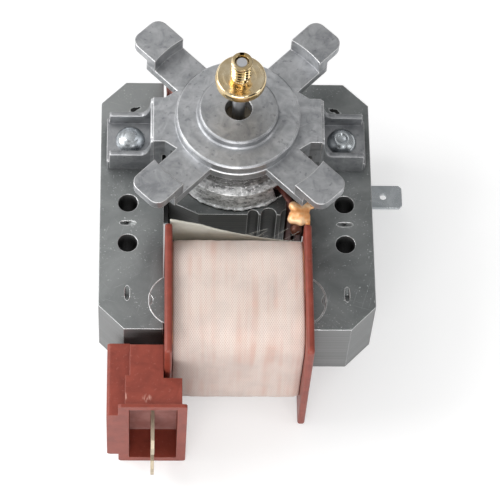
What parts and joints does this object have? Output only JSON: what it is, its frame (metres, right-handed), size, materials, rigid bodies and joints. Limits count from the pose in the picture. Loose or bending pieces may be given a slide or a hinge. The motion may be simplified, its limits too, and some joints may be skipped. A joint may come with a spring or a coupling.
{
  "type": "hot air fan motor",
  "caption": "Shaded-pole motor of a hot air fan: laminated stator with side coil, cast bearing brackets with four mounting legs, and a shaft with a threaded brass hub.",
  "frame": {"origin": "on the shaft axis, in the face of the brass hub that the fan wheel seats on", "axes": "+Z along the shaft towards the fan end, -Y towards the coil and the terminals, +X towards the earth tab"},
  "size_m": [0.075, 0.0997, 0.07],
  "materials": {
    "lamination": "oxidised stamped silicon steel, faintly blue-green, with fine specks",
    "former_plastic": "red-brown glass-filled polyester, moulded",
    "copper": "bare copper, melted at the weld",
    "tape": "fine woven glass-cloth tape over pinkish windings",
    "film": "off-white insulating film",
    "tinned_brass": "thinly tinned brass strip",
    "cast_alloy": "die-cast alloy, tumbled, with bright edges and flow marks",
    "sintered_bronze": "oiled sintered bronze",
    "felt": "oiled wool felt",
    "spring_steel": "rolled spring steel",
    "zinc_plate": "bright zinc-plated steel",
    "ground_steel": "ground steel",
    "washer_plastic": "natural polyamide",
    "brass": "turned brass, bright"
  },
  "bodies": {
    "stator": {"stator_frame": "lamination", "coil_core": "lamination", "coil_former": "former_plastic", "coil_winding": "copper", "coil_tape": "tape", "insulation_film": "film", "terminal_housing": "former_plastic", "terminal_tab_front": "tinned_brass", "terminal_tab_rear": "tinned_brass", "shading_ring_right": "copper", "shading_ring_left": "copper", "front_bracket": "cast_alloy", "rear_bracket": "cast_alloy", "front_bearing": "sintered_bronze", "rear_bearing": "sintered_bronze", "front_felt": "felt", "rear_felt": "felt", "front_spring": "spring_steel", "rear_spring": "spring_steel", "rivet_left": "zinc_plate", "rivet_right": "zinc_plate", "earth_tab": "zinc_plate"},
    "rotor": {"shaft": "ground_steel", "rotor_core": "lamination", "rotor_cage": "cast_alloy", "front_sleeve": "washer_plastic", "rear_sleeve": "washer_plastic", "front_thrust_washer": "spring_steel", "rear_thrust_washer": "spring_steel", "brass_hub": "brass"}
  },
  "joints": [
    {"name": "rotor_spin", "type": "hinge", "parent": "stator", "child": "rotor", "pos_m": [0, 0, 0], "axis": [0, 0, 1], "continuous": true}
  ]
}
